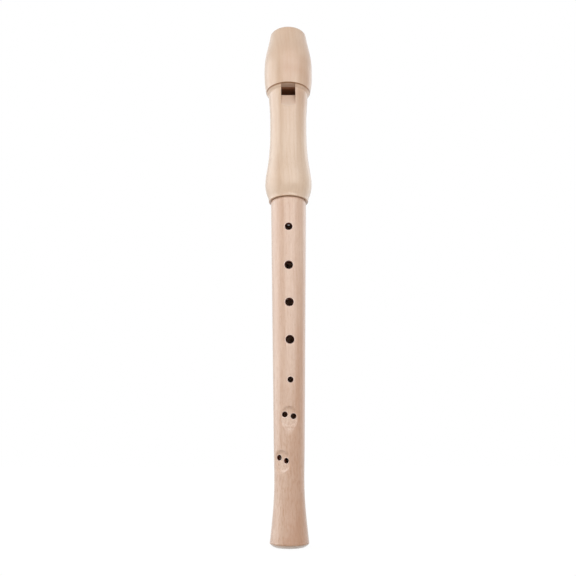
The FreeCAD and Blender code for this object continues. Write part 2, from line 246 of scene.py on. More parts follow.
def lathe_tree():
    """Turns a closed outline, drawn with its radius along X and its height along Z, round the Z axis."""
    rail_radius = 10 * MM
    tree, given = new_tree("lathe", {"Outline": GEOMETRY, "Segments": COUNT})
    drawn = add_node(tree, SEPARATE, {0: add_node(tree, POSITION)})
    outward = add_node(tree, MATH, {0: drawn.outputs["X"], 1: rail_radius}, operation="SUBTRACT")
    downward = add_node(tree, MATH, {0: drawn.outputs["Z"], 1: -1}, operation="MULTIPLY")
    laid = add_node(tree, COMBINE, {"X": outward, "Y": downward})
    line = add_node(tree, "GeometryNodeMeshToCurve", {"Mesh": given["Outline"]})
    profile = add_node(tree, SET_POSITION, {"Geometry": line, "Position": laid})
    circle = add_node(tree, "GeometryNodeCurvePrimitiveCircle", {
        "Resolution": given["Segments"], "Radius": rail_radius})
    rail = add_node(tree, "GeometryNodeSetCurveNormal", {"Curve": circle}, mode="Z_UP")
    turned = add_node(tree, "GeometryNodeCurveToMesh", {"Curve": rail, "Profile Curve": profile})
    # the sweep leaves the faces pointing inwards
    faced = add_node(tree, "GeometryNodeFlipFaces", {"Mesh": turned})
    add_node(tree, OUTPUT, {0: faced})
    return tree


def falling_away(tree, radius, reach):
    """How far a round of a radius has fallen away at a reach from its middle."""
    radius_square, reach_square = (
        add_node(tree, MATH, {0: part, 1: 2.0}, operation="POWER") for part in (radius, reach))
    rest = add_node(tree, MATH, {0: radius_square, 1: reach_square}, operation="SUBTRACT")
    left = add_node(tree, MATH, {0: rest}, operation="SQRT")
    return add_node(tree, MATH, {0: radius, 1: left}, operation="SUBTRACT")


def seat_tree():
    """Dishes a seat into a turned piece: a flat floor with a round corner, blended into the turned side.

    It keeps two attributes in mm for the wood: seat is the depth that is taken away, and seat_rise
    is the height above the seat's middle.
    """
    least_depth = 0.01 * MM
    tree, given = new_tree("dished seat", {
        "Mesh": GEOMETRY, "Height": NUMBER, "Turn": NUMBER, "Floor": NUMBER, "Flat Radius": NUMBER,
        "Corner Radius": NUMBER, "Softness": NUMBER})
    back = add_node(tree, MATH, {0: given["Turn"], 1: -1}, operation="MULTIPLY")
    facing = add_node(tree, ROTATE, {
        "Vector": add_node(tree, POSITION), "Angle": back}, rotation_type="Z_AXIS")
    parts = add_node(tree, SEPARATE, {0: facing})
    level = add_node(tree, MATH, {0: parts.outputs["Y"], 1: -1}, operation="MULTIPLY")
    along = add_node(tree, MATH, {0: parts.outputs["Z"], 1: given["Height"]}, operation="SUBTRACT")
    spot = add_node(tree, COMBINE, {"X": parts.outputs["X"], "Y": along})
    reach = add_node(tree, VECTOR_MATH, {0: spot}, operation="LENGTH").outputs["Value"]

    past_flat = add_node(tree, MATH, {0: reach, 1: given["Flat Radius"]}, operation="SUBTRACT")
    past_flat = add_node(tree, MATH, {0: past_flat, 1: 0.0}, operation="MAXIMUM")
    in_corner = add_node(tree, MATH, {0: past_flat, 1: given["Corner Radius"]}, operation="MINIMUM")
    past_corner = add_node(tree, MATH, {0: past_flat, 1: in_corner}, operation="SUBTRACT")
    rise = falling_away(tree, given["Corner Radius"], in_corner)
    wall = add_node(tree, MATH, {0: past_corner, 1: SEAT_WALL_SLOPE, 2: rise}, operation="MULTIPLY_ADD")
    floor = add_node(tree, MATH, {0: given["Floor"], 1: wall}, operation="ADD")
    kept = add_node(tree, MATH, {0: level, 1: floor, 2: given["Softness"]}, operation="SMOOTH_MIN")
    taken = add_node(tree, MATH, {0: level, 1: kept}, operation="SUBTRACT")

    within = add_node(tree, MATH, {0: taken, 1: least_depth}, operation="GREATER_THAN")
    risen = add_node(tree, MATH, {0: along, 1: within}, operation="MULTIPLY")
    marked = given["Mesh"]
    for name, amount in (("seat", taken), ("seat_rise", risen)):
        before = add_node(tree, "GeometryNodeInputNamedAttribute", {"Name": name}, data_type="FLOAT")
        amount = add_node(tree, MATH, {0: amount, 1: 1 / MM, 2: before}, operation="MULTIPLY_ADD")
        marked = add_node(tree, STORE, {
            "Geometry": marked, "Name": name, "Value": amount}, data_type="FLOAT", domain="POINT")
    inward = add_node(tree, ROTATE, {
        "Vector": add_node(tree, COMBINE, {"Y": taken}), "Angle": given["Turn"]}, rotation_type="Z_AXIS")
    dished = add_node(tree, SET_POSITION, {"Geometry": marked, "Offset": inward})
    add_node(tree, OUTPUT, {0: dished})
    return tree


def drill_tree():
    """Cutter for one hole: undercut at the bore, straight in the wall, and a rim rounded over the surface.

    A row's share of the cutter's length says where it is, and is kept as the attribute cut. The rim
    follows a side of radius Round, or a flat floor where Bend is 0.
    """
    inner_end = 3.5 * MM
    bore_wall = 5.5 * MM  # about where the wall of the tapering bore lies
    past_surface = 4 * MM
    rim_sweep = math.radians(86)
    tree, given = new_tree("hole cutter", {
        "Diameter": NUMBER, "Rim": NUMBER, "Undercut": NUMBER, "Height": NUMBER, "Turn": NUMBER,
        "Across": NUMBER, "Up": NUMBER, "Surface": NUMBER, "Round": NUMBER, "Bend": NUMBER})
    blank = add_node(tree, "GeometryNodeMeshCylinder", {
        "Vertices": 64, "Side Segments": 20, "Fill Segments": 1, "Radius": 1.0, "Depth": 1.0})
    parts = add_node(tree, SEPARATE, {0: add_node(tree, POSITION)})
    share = add_node(tree, MATH, {0: parts.outputs["Z"], 1: 0.5}, operation="ADD")

    radius = add_node(tree, MATH, {0: given["Diameter"], 1: 0.5}, operation="MULTIPLY")
    middle = add_node(tree, MATH, {0: given["Surface"], 1: bore_wall}, operation="ADD")
    middle = add_node(tree, MATH, {0: middle, 1: 0.5}, operation="MULTIPLY")
    flare = add_node(tree, MATH, {0: given["Undercut"]}, operation="TANGENT")
    run = add_node(tree, MATH, {0: middle, 1: inner_end}, operation="SUBTRACT")
    flared = add_node(tree, MATH, {0: run, 1: flare, 2: radius}, operation="MULTIPLY_ADD")

    turn = add_node(tree, MAP_RANGE, {
        "Value": share, "From Min": WALL_END, "From Max": RIM_END, "To Max": rim_sweep})
    over = add_node(tree, MATH, {0: turn}, operation="COSINE")
    over = add_node(tree, MATH, {0: 1.0, 1: over}, operation="SUBTRACT")
    over = add_node(tree, MATH, {0: over, 1: given["Rim"]}, operation="MULTIPLY")
    climb = add_node(tree, MATH, {0: turn}, operation="SINE")
    climb = add_node(tree, MATH, {0: climb, 1: given["Rim"]}, operation="MULTIPLY")
    size = add_node(tree, MAP_RANGE, {
        "Value": share, "From Max": UNDERCUT_END, "To Min": flared, "To Max": radius})
    size = add_node(tree, MATH, {0: size, 1: over}, operation="ADD")

    level = add_node(tree, MAP_RANGE, {
        "Value": share, "From Max": UNDERCUT_END, "To Min": inner_end, "To Max": middle})
    straight = add_node(tree, MATH, {0: given["Surface"], 1: given["Rim"]}, operation="SUBTRACT")
    straight = add_node(tree, MATH, {0: straight, 1: middle}, operation="SUBTRACT")
    straight = add_node(tree, MAP_RANGE, {
        "Value": share, "From Min": UNDERCUT_END, "From Max": WALL_END, "To Max": straight})
    above = add_node(tree, MAP_RANGE, {"Value": share, "From Min": RIM_END, "To Max": past_surface})
    for part in (straight, climb, above):
        level = add_node(tree, MATH, {0: level, 1: part}, operation="ADD")

    side = add_node(tree, MATH, {
        0: parts.outputs["X"], 1: size, 2: given["Across"]}, operation="MULTIPLY_ADD")
    upward = add_node(tree, MATH, {0: parts.outputs["Y"], 1: size, 2: given["Up"]}, operation="MULTIPLY_ADD")
    upward = add_node(tree, MATH, {0: upward, 1: given["Height"]}, operation="ADD")
    sag = falling_away(tree, given["Round"], side)
    weight = add_node(tree, MAP_RANGE, {
        "Value": share, "From Min": UNDERCUT_END, "From Max": WALL_END, "To Max": given["Bend"]})
    sag = add_node(tree, MATH, {0: sag, 1: weight}, operation="MULTIPLY")
    level = add_node(tree, MATH, {0: sag, 1: level}, operation="SUBTRACT")
    spot = add_node(tree, COMBINE, {"X": side, "Y": level, "Z": upward})
    spot = add_node(tree, ROTATE, {
        "Vector": spot, "Angle": given["Turn"]}, rotation_type="Z_AXIS")

    marked = add_node(tree, STORE, {
        "Geometry": blank, "Name": "cut", "Value": share}, data_type="FLOAT", domain="FACE")
    cutter = add_node(tree, SET_POSITION, {"Geometry": marked, "Position": spot})
    add_node(tree, OUTPUT, {0: cutter})
    return tree


def finish_tree():
    """Merges, smooths all but the sharp edges, and gives the material."""
    same_point = 0.002 * MM
    sharp_angle = math.radians(32)
    tree, given = new_tree("finish", {"Mesh": GEOMETRY, "Material": MATERIAL})
    merged = add_node(tree, "GeometryNodeMergeByDistance", {
        "Geometry": given["Mesh"], "Distance": same_point})
    smooth = add_node(tree, "GeometryNodeSetShadeSmooth", {"Geometry": merged}, domain="FACE")
    angle = add_node(tree, "GeometryNodeInputMeshEdgeAngle")
    sharp = add_node(tree, "FunctionNodeCompare", {0: angle, 1: sharp_angle}, operation="GREATER_THAN")
    smooth = add_node(tree, "GeometryNodeSetShadeSmooth", {
        "Geometry": smooth, "Selection": sharp, "Shade Smooth": False}, domain="EDGE")
    real = add_node(tree, "GeometryNodeRealizeInstances", {"Geometry": smooth})
    coated = add_node(tree, "GeometryNodeSetMaterial", {"Geometry": real, "Material": given["Material"]})
    add_node(tree, OUTPUT, {0: coated})
    return tree


def shared_tree(name, make):
    """The tree of that name, made if the file has none yet."""
    return bpy.data.node_groups.get(name) or make()


def lower_joint_tree(radius_at):
    """Turned lower joint with its seats dished and its holes drilled."""
    tree, given = new_tree("lower joint", {
        "Outline": GEOMETRY, "Segments": COUNT, "Hole Rim": NUMBER, "Pair Rim": NUMBER, "Undercut": NUMBER,
        "Seat Depth": NUMBER, "Seat Softness": NUMBER, "Material": MATERIAL})
    joint = add_node(tree, TREE, {
        "Outline": given["Outline"], "Segments": given["Segments"]},
        node_tree=shared_tree("lathe", lathe_tree))
    seat, drill = seat_tree(), drill_tree()
    cutters = []
    for diameter, height, turn in SINGLE_HOLES:
        radius = radius_at(height) * MM
        cutters.append(add_node(tree, TREE, {
            "Diameter": diameter * MM, "Rim": given["Hole Rim"], "Undercut": given["Undercut"],
            "Height": height * MM, "Turn": math.radians(turn), "Surface": radius, "Round": radius,
            "Bend": 1.0}, node_tree=drill))
    for diameter, spacing, slope, height, turn in PAIRS:
        radius = radius_at(height) * MM
        floor = add_node(tree, MATH, {0: radius, 1: given["Seat Depth"]}, operation="SUBTRACT")
        joint = add_node(tree, TREE, {
            "Mesh": joint, "Height": (height - SEAT_DROP) * MM, "Turn": math.radians(turn), "Floor": floor,
            "Flat Radius": SEAT_FLAT_RADIUS * MM, "Corner Radius": SEAT_CORNER_RADIUS * MM,
            "Softness": given["Seat Softness"]}, node_tree=seat)
        for side in (-1, 1):
            off_middle = side * spacing / 2 * MM
            cutters.append(add_node(tree, TREE, {
                "Diameter": diameter * MM, "Rim": given["Pair Rim"], "Undercut": given["Undercut"],
                "Height": height * MM, "Turn": math.radians(turn),
                "Across": math.cos(math.radians(slope)) * off_middle,
                "Up": -math.sin(math.radians(slope)) * off_middle,
                "Surface": floor, "Round": radius, "Bend": 0.0}, node_tree=drill))

    drilled = add_node(tree, "GeometryNodeMeshBoolean", {
        "Mesh 1": joint}, operation="DIFFERENCE", solver="MANIFOLD")
    for cutter in cutters:
        tree.links.new(cutter.outputs[0], drilled.inputs["Mesh 2"])
    finished = add_node(tree, TREE, {
        "Mesh": drilled, "Material": given["Material"]}, node_tree=shared_tree("finish", finish_tree))
    add_node(tree, OUTPUT, {0: finished})
    return tree


def cork_tree():
    """Sleeve with the slightly uneven face of sanded sheet cork, which never stands out past its outline."""
    pore_size = 1.4 * MM
    near_outside = CORK_SLEEVE[0] * MM * 1.08
    tree, given = new_tree("cork sleeve", {
        "Outline": GEOMETRY, "Segments": COUNT, "Unevenness": NUMBER, "Seed": NUMBER, "Material": MATERIAL})
    turned = add_node(tree, TREE, {
        "Outline": given["Outline"], "Segments": given["Segments"]},
        node_tree=shared_tree("lathe", lathe_tree))
    place = add_node(tree, POSITION)
    grain = add_node(tree, NOISE, {
        "Vector": place, "W": given["Seed"], "Scale": 1 / pore_size}, noise_dimensions="4D")
    sideways = add_node(tree, VECTOR_MATH, {0: place, 1: (-1, -1, 0)}, operation="MULTIPLY")
    inward = add_node(tree, VECTOR_MATH, {0: sideways}, operation="NORMALIZE")
    sink = add_node(tree, MATH, {0: grain, 1: given["Unevenness"]}, operation="MULTIPLY")
    move = add_node(tree, VECTOR_MATH, {0: inward, "Scale": sink}, operation="SCALE")
    reach = add_node(tree, VECTOR_MATH, {0: sideways}, operation="LENGTH").outputs["Value"]
    outer = add_node(tree, "FunctionNodeCompare", {0: reach, 1: near_outside}, operation="GREATER_THAN")
    uneven = add_node(tree, SET_POSITION, {"Geometry": turned, "Selection": outer, "Offset": move})
    finished = add_node(tree, TREE, {
        "Mesh": uneven, "Material": given["Material"]}, node_tree=shared_tree("finish", finish_tree))
    add_node(tree, OUTPUT, {0: finished})
    return tree


def outline_mesh(name, points):
    """Closed outline from radii and heights in mm."""
    mesh = bpy.data.meshes.new(name)
    edges = [(i, (i + 1) % len(points)) for i in range(len(points))]
    mesh.from_pydata([(radius * MM, 0, height * MM) for radius, height in points], edges, [])
    return mesh


def grow(name, outline, tree, inputs):
    """Runs a tree on an outline and returns the result as a plain mesh object."""
    host = bpy.data.objects.new(name + "_outline", outline_mesh(name + "_outline", outline))
    bpy.context.collection.objects.link(host)
    modifier = host.modifiers.new(name, "NODES")
    modifier.node_group = tree
    identifiers = {item.name: item.identifier for item in tree.interface.items_tree if item.in_out == "INPUT"}
    for label, value in inputs.items():
        modifier[identifiers[label]] = value
    evaluated = host.evaluated_get(bpy.context.evaluated_depsgraph_get())
    mesh = bpy.data.meshes.new_from_object(evaluated)
    mesh.name = name
    host.modifiers.remove(modifier)
    bpy.data.objects.remove(host)
    if not mesh.polygons:
        raise RuntimeError(name + " came out empty")
    piece = bpy.data.objects.new(name, mesh)
    bpy.context.collection.objects.link(piece)
    return piece


def stretch(start, end, start_lean, end_lean, step):
    """Points of a smooth stretch of outline, without its first one."""
    lean_kept = 0.38  # share of the stretch over which the lean of each end pulls
    pull = lean_kept * (end[1] - start[1])
    poles = (
        start, (start[0] + start_lean * pull, start[1] + pull),
        (end[0] - end_lean * pull, end[1] - pull), end)
    count = math.ceil((end[1] - start[1]) / step)
    points = []
    for i in range(1, count + 1):
        t = i / count
        weights = ((1 - t) ** 3, 3 * t * (1 - t) ** 2, 3 * t * t * (1 - t), t ** 3)
        points.append(tuple(sum(w * pole[axis] for w, pole in zip(weights, poles)) for axis in (0, 1)))
    return points


def dome(start, end, radius, count):
    """Points of a round that bulges outwards, without its first one."""
    first, last = Vector(start), Vector(end)
    chord = last - first
    sink = math.sqrt(radius ** 2 - (chord.length / 2) ** 2)
    centre = (first + last) / 2 + Vector((-chord.y, chord.x)).normalized() * sink
    spoke = first - centre
    sweep = spoke.angle_signed(last - centre)
    points = []
    for i in range(1, count + 1):
        angle = -sweep * i / count
        points.append(tuple(centre + Vector((
            spoke.x * math.cos(angle) - spoke.y * math.sin(angle),
            spoke.x * math.sin(angle) + spoke.y * math.cos(angle)))))
    return points


def lower_outline():
    """Outline of the lower joint's outside from the foot to the shoulder."""
    shoulder = LOWER_LENGTH - SHOULDER_SOFTNESS

    def taper(height):
        return (SHOULDER_RADIUS - TAPER_LEAN * (shoulder - height), height)

    points = [FOOT_LAND] + dome(FOOT_LAND, FOOT_RIM, FOOT_DOME_RADIUS, FOOT_DOME_ROWS)
    points += stretch(FOOT_RIM, NECK, FOOT_RIM_LEAN, 0, FLARE_STEP)
    points += stretch(NECK, taper(TAPER_END_HEIGHT), 0, TAPER_LEAN, SEAT_STEP)
    seat_start, seat_end = UPPER_SEAT_ROWS
    for low, high, step in (
            (TAPER_END_HEIGHT, seat_start, BETWEEN_STEP), (seat_start, seat_end, SEAT_STEP),
            (seat_end, shoulder, UPPER_STEP)):
        points += stretch(taper(low), taper(high), TAPER_LEAN, TAPER_LEAN, step)
    return points


def radius_on(points):
    """A function that gives the outline's radius at a height."""
    def radius_at(height):
        for (low_radius, low), (high_radius, high) in zip(points, points[1:]):
            if low <= height <= high:
                return low_radius + (high_radius - low_radius) * (height - low) / (high - low)
        raise ValueError("no such height on the outline")
    return radius_at


def tenon_outline():
    """From the shoulder over the tenon, with the cork's seat, and down the bore."""
    seat_radius, seat_low, seat_high = CORK_SEAT
    eased = SHOULDER_SOFTNESS * 0.3
    return [
        (SHOULDER_RADIUS - eased, LOWER_LENGTH - eased),
        (SHOULDER_RADIUS - SHOULDER_SOFTNESS, LOWER_LENGTH),
        (TENON_RADIUS, LOWER_LENGTH),
        (TENON_RADIUS, seat_low - CORK_SEAT_EASE),
        (TENON_RADIUS - CORK_SEAT_EASE, seat_low),
        (seat_radius, seat_low),
        (seat_radius, seat_high),
        (TENON_RADIUS - CORK_SEAT_EASE, seat_high),
        (TENON_RADIUS, seat_high + CORK_SEAT_EASE),
        (TENON_RADIUS, TENON_END - TENON_CHAMFER),
        (TENON_RADIUS - TENON_ROUND, TENON_END - TENON_ROUND),
        (TENON_RADIUS - TENON_CHAMFER, TENON_END),
    ] + list(BORE)


# Materials. Sizes of their patterns are in mm, as width and length along the grain.

FIBRES = (0.5, 18)
PORES = (0.3, 1.5)  # real pores are about 0.05 mm wide, too fine to show, so they are drawn coarser
CLOUDS = (4.5, 34)  # slow changes of tone
MOTTLE = (0.9, 3.5)  # brown flecks of the lower joint
CUT_FIBRES = (0.45, 1.1)  # ends of fibres in a seat, drawn coarser than real ones for the same reason
# Browner bands down the right side, darkest at the foot: partly the wood's own tone, partly painted shade on
# the side away from the light
HEARTWOOD_AND_SHADE = (((1.0, 0.25, -0.085), -7, 11), ((1.0, 0.0, -0.3), -2, 40))  # direction, start and reach


def new_material(name):
    material = bpy.data.materials.new(name)
    material.use_nodes = True
    material.node_tree.nodes.clear()
    return material


def streaks(tree, place, size, detail=2.0, roughness=0.5, seed=None):
    """Noise drawn out along the grain, in streaks of a width and length in mm."""
    width, length = size
    drawn_out = add_node(tree, VECTOR_MATH, {
        0: place, 1: (1 / (width * MM), 1 / (width * MM), 1 / (length * MM))}, operation="MULTIPLY")
    inputs = {"Vector": drawn_out, "Scale": 1.0, "Detail": detail, "Roughness": roughness}
    if seed is None:
        return add_node(tree, NOISE, inputs)
    return add_node(tree, NOISE, {**inputs, "W": seed}, noise_dimensions="4D")


def layered(tree, colour, layers):
    """A colour with layers laid over it in turn, each a share and a colour. An output does as a colour."""
    for share, layer in layers:
        colour = add_node(tree, MIX, {
            0: share, 6: opaque(colour), 7: opaque(layer)}, data_type="RGBA").outputs[2]
    return colour


def wood(name, light, dark, end, ring_spacing, pith, tilt_degrees, seed, roughness=0.42, coat=1.0):
    """Straight-grained wood: rings round a far pith, long fibres, short pores and slow changes of tone.

    Ring spacing and pith are in mm. Returns the material, its grain colour and its shader, for a
    finish to be added.
    """
    sway_length, sway_width = 30 * MM, 3.5 * MM
    ring_unevenness = 1.1
    material = new_material(name)
    tree = material.node_tree
    coordinates = add_node(tree, COORDINATES)
    log = add_node(tree, "ShaderNodeMapping", {
        "Vector": coordinates.outputs["Object"], "Location": tuple(side * MM for side in pith),
        "Rotation": tuple(math.radians(angle) for angle in tilt_degrees)})
    sway = add_node(tree, NOISE, {
        "Vector": log, "W": seed, "Scale": 1 / sway_length}, noise_dimensions="4D")
    swayed = add_node(tree, VECTOR_MATH, {
        0: sway.outputs["Color"], 1: (sway_width,) * 3, 2: log}, operation="MULTIPLY_ADD")
    across = add_node(tree, VECTOR_MATH, {0: swayed, 1: (1, 1, 0)}, operation="MULTIPLY")
    reach = add_node(tree, VECTOR_MATH, {0: across}, operation="LENGTH").outputs["Value"]
    years = add_node(tree, MATH, {0: reach, 1: ring_spacing * MM}, operation="DIVIDE")
    weather = add_node(tree, NOISE, {"W": years, "Scale": 0.6, "Detail": 1.0}, noise_dimensions="1D")
    years = add_node(tree, MATH, {0: weather, 1: ring_unevenness, 2: years}, operation="MULTIPLY_ADD")
    season = add_node(tree, MATH, {0: years}, operation="FRACT")
    late = add_node(tree, MAP_RANGE, {"Value": season, "From Min": 0.35}, interpolation_type="SMOOTHSTEP")

    fibre = streaks(tree, swayed, FIBRES, 3.0, 0.6, seed)
    pore = streaks(tree, swayed, PORES, 1.0, seed=seed)
    pore = add_node(tree, MAP_RANGE, {"Value": pore, "From Min": 0.6, "From Max": 0.76})
    cloud = streaks(tree, log, CLOUDS, seed=seed)
    tone = 0.0
    for part, weight in ((late, 0.16), (fibre, 0.7), (cloud, 0.85), (pore, 0.5)):
        tone = add_node(tree, MATH, {0: part, 1: weight, 2: tone}, operation="MULTIPLY_ADD")
    tone = add_node(tree, MAP_RANGE, {"Value": tone, "From Min": 0.5, "From Max": 1.4})
    upright = add_node(tree, SEPARATE, {0: coordinates.outputs["Normal"]})
    upright = add_node(tree, MATH, {0: upright.outputs["Z"]}, operation="ABSOLUTE")
    across_grain = add_node(tree, MAP_RANGE, {
        "Value": upright, "From Min": 0.6, "From Max": 0.9, "To Max": 0.75})
    grain = layered(tree, light, [(tone, dark), (across_grain, end)])

    # the pores are sunk and the fibres stand up
    height = add_node(tree, MATH, {0: pore, 1: -0.8, 2: fibre}, operation="MULTIPLY_ADD")
    bump = add_node(tree, "ShaderNodeBump", {"Height": height, "Strength": 0.25, "Distance": 0.03 * MM})
    gloss = add_node(tree, MAP_RANGE, {
        "Value": fibre, "From Min": 0.3, "From Max": 0.7, "To Min": roughness - 0.05,
        "To Max": roughness + 0.07})
    shader = add_node(tree, "ShaderNodeBsdfPrincipled", {
        "Base Color": grain, "Roughness": gloss, "Normal": bump, "Coat Weight": coat, "Coat Roughness": 0.22})
    add_node(tree, "ShaderNodeOutputMaterial", {"Surface": shader})
    return material, grain, shader


def heartwood_and_shade(tree, place, direction, start, reach):
    """Share of a browner band that lies across a direction, with soft and wandering borders."""
    # The band is partly the wood's own browner tone, partly painted shade on the side away from the light
    border, wander_width, wander_length = 7 * MM, 6 * MM, 25 * MM
    strongest, left_beyond = 0.45, 0.35
    wander = add_node(tree, NOISE, {"Vector": place, "Scale": 1 / wander_length, "Detail": 1.0})
    depth = add_node(tree, VECTOR_MATH, {0: place, 1: direction}, operation="DOT_PRODUCT")
    depth = add_node(tree, MATH, {
        0: wander, 1: wander_width, 2: depth.outputs["Value"]}, operation="MULTIPLY_ADD")
    brown = add_node(tree, MAP_RANGE, {
        "Value": depth, "From Min": start * MM, "From Max": start * MM + border, "To Max": strongest},
        interpolation_type="SMOOTHSTEP")
    end = (start + reach) * MM
    fade = add_node(tree, MAP_RANGE, {
        "Value": depth, "From Min": end, "From Max": end + border, "To Min": 1.0, "To Max": left_beyond},
        interpolation_type="SMOOTHSTEP")
    return add_node(tree, MATH, {0: brown, 1: fade}, operation="MULTIPLY")


def scribed_maple(colours):
    """Maple, turned and oiled: creamy, close-grained and softly glossy.

    The upper barrel and the bulb are browner, most on the right side: partly the wood's own tone,
    partly painted shade on the side away from the light. A dark brown band is painted along the
    line under the bulb. The ramp below the window, where it faces up, and the window's roof, which
    faces down, are painted pale: partly the paler wood pared there, partly painted light. The ramp's
    two corners are painted dark, as painted shade from its side walls.
    """
    material, grain, shader = wood(
        "maple, turned and oiled, scribed", colours.head_light, colours.head_dark, colours.end_grain,
        ring_spacing=2.4, pith=(60, 45, 0), tilt_degrees=(1.5, 1, 0), seed=1.0)
    tree = material.node_tree
    coordinates = add_node(tree, COORDINATES)
    facing = add_node(tree, SEPARATE, {0: coordinates.outputs["Normal"]}).outputs["Z"]
    coordinates = coordinates.outputs["Object"]
    place = add_node(tree, SEPARATE, {0: coordinates})
    sideways, height = place.outputs["X"], place.outputs["Z"]
    flat = add_node(tree, VECTOR_MATH, {0: coordinates, 1: (1, 1, 0)}, operation="MULTIPLY")
    radius = add_node(tree, VECTOR_MATH, {0: flat}, operation="LENGTH").outputs["Value"]
    low, high = (edge * MM for edge in SCRIBED_LINE)

    # Browner on the right and up the head: partly the wood's own tone, partly painted shade on the side away
    # from the light
    tone_and_shade = add_node(tree, NOISE, {"Vector": coordinates, "Scale": 1 / (16 * MM), "Detail": 1.0})
    tone_and_shade = add_node(tree, MAP_RANGE, {
        "Value": tone_and_shade, "From Min": 0.3, "From Max": 0.7, "To Min": 0.18, "To Max": 0.6})
    growing = add_node(tree, MAP_RANGE, {"Value": height, "From Min": 245 * MM, "From Max": 292 * MM})
    fading = add_node(tree, MAP_RANGE, {
        "Value": height, "From Min": 302 * MM, "From Max": 320 * MM, "To Min": 1.0, "To Max": 0.4})
    rightward = add_node(tree, MAP_RANGE, {
        "Value": sideways, "From Min": -8 * MM, "From Max": 1 * MM, "To Min": 0.25},
        interpolation_type="SMOOTHSTEP")
    for part in (rightward, growing, fading):
        tone_and_shade = add_node(tree, MATH, {0: tone_and_shade, 1: part}, operation="MULTIPLY")

    # A dark brown band painted round the head along the groove under the bulb
    groove_floor = 13.7 * MM
    off_middle = add_node(tree, MATH, {0: height, 1: (low + high) / 2}, operation="SUBTRACT")
    off_middle = add_node(tree, MATH, {0: off_middle}, operation="ABSOLUTE")
    line = add_node(tree, MAP_RANGE, {
        "Value": off_middle, "From Min": (high - low) * 0.45, "From Max": (high - low) * 0.65,
        "To Min": 0.9, "To Max": 0.0})
    outside = add_node(tree, MATH, {0: radius, 1: groove_floor}, operation="GREATER_THAN")
    line = add_node(tree, MATH, {0: line, 1: outside}, operation="MULTIPLY")

    # Up-facing ramp painted pale: partly pared wood, partly painted light
    ramp = add_node(tree, MAP_RANGE, {"Value": facing, "From Min": 0.25, "From Max": 0.35, "To Max": 0.62})
    below_line = add_node(tree, MATH, {0: height, 1: low}, operation="LESS_THAN")
    ramp = add_node(tree, MATH, {0: ramp, 1: below_line}, operation="MULTIPLY")
    # Painted shade in the ramp's corners along its side walls, fading downwards
    aside = add_node(tree, MATH, {0: sideways}, operation="ABSOLUTE")
    corner = add_node(tree, MAP_RANGE, {
        "Value": aside, "From Min": 4.0 * MM, "From Max": 4.5 * MM, "To Max": 0.7})
    deep = add_node(tree, MAP_RANGE, {"Value": height, "From Min": 267 * MM, "From Max": 278 * MM})
    for part in (deep, ramp):
        corner = add_node(tree, MATH, {0: corner, 1: part}, operation="MULTIPLY")

    # Down-facing window roof painted pale: partly pared wood, partly painted light
    bulb_core = 13.0 * MM
    roof = add_node(tree, MAP_RANGE, {
        "Value": facing, "From Min": -0.5, "From Max": -0.3, "To Min": 0.6, "To Max": 0.0})
    above_line = add_node(tree, MATH, {0: height, 1: low}, operation="GREATER_THAN")
    within = add_node(tree, MATH, {0: radius, 1: bulb_core}, operation="LESS_THAN")
    for part in (above_line, within):
        roof = add_node(tree, MATH, {0: roof, 1: part}, operation="MULTIPLY")
    pared = add_node(tree, MATH, {0: ramp, 1: roof}, operation="MAXIMUM")
    finished = layered(tree, grain, [
        (tone_and_shade, colours.heart_and_shade), (pared, colours.seat), (corner, colours.dark_line_and_shade), (line, colours.dark_line_and_shade)])
    tree.links.new(finished, shader.inputs["Base Color"])
    return material


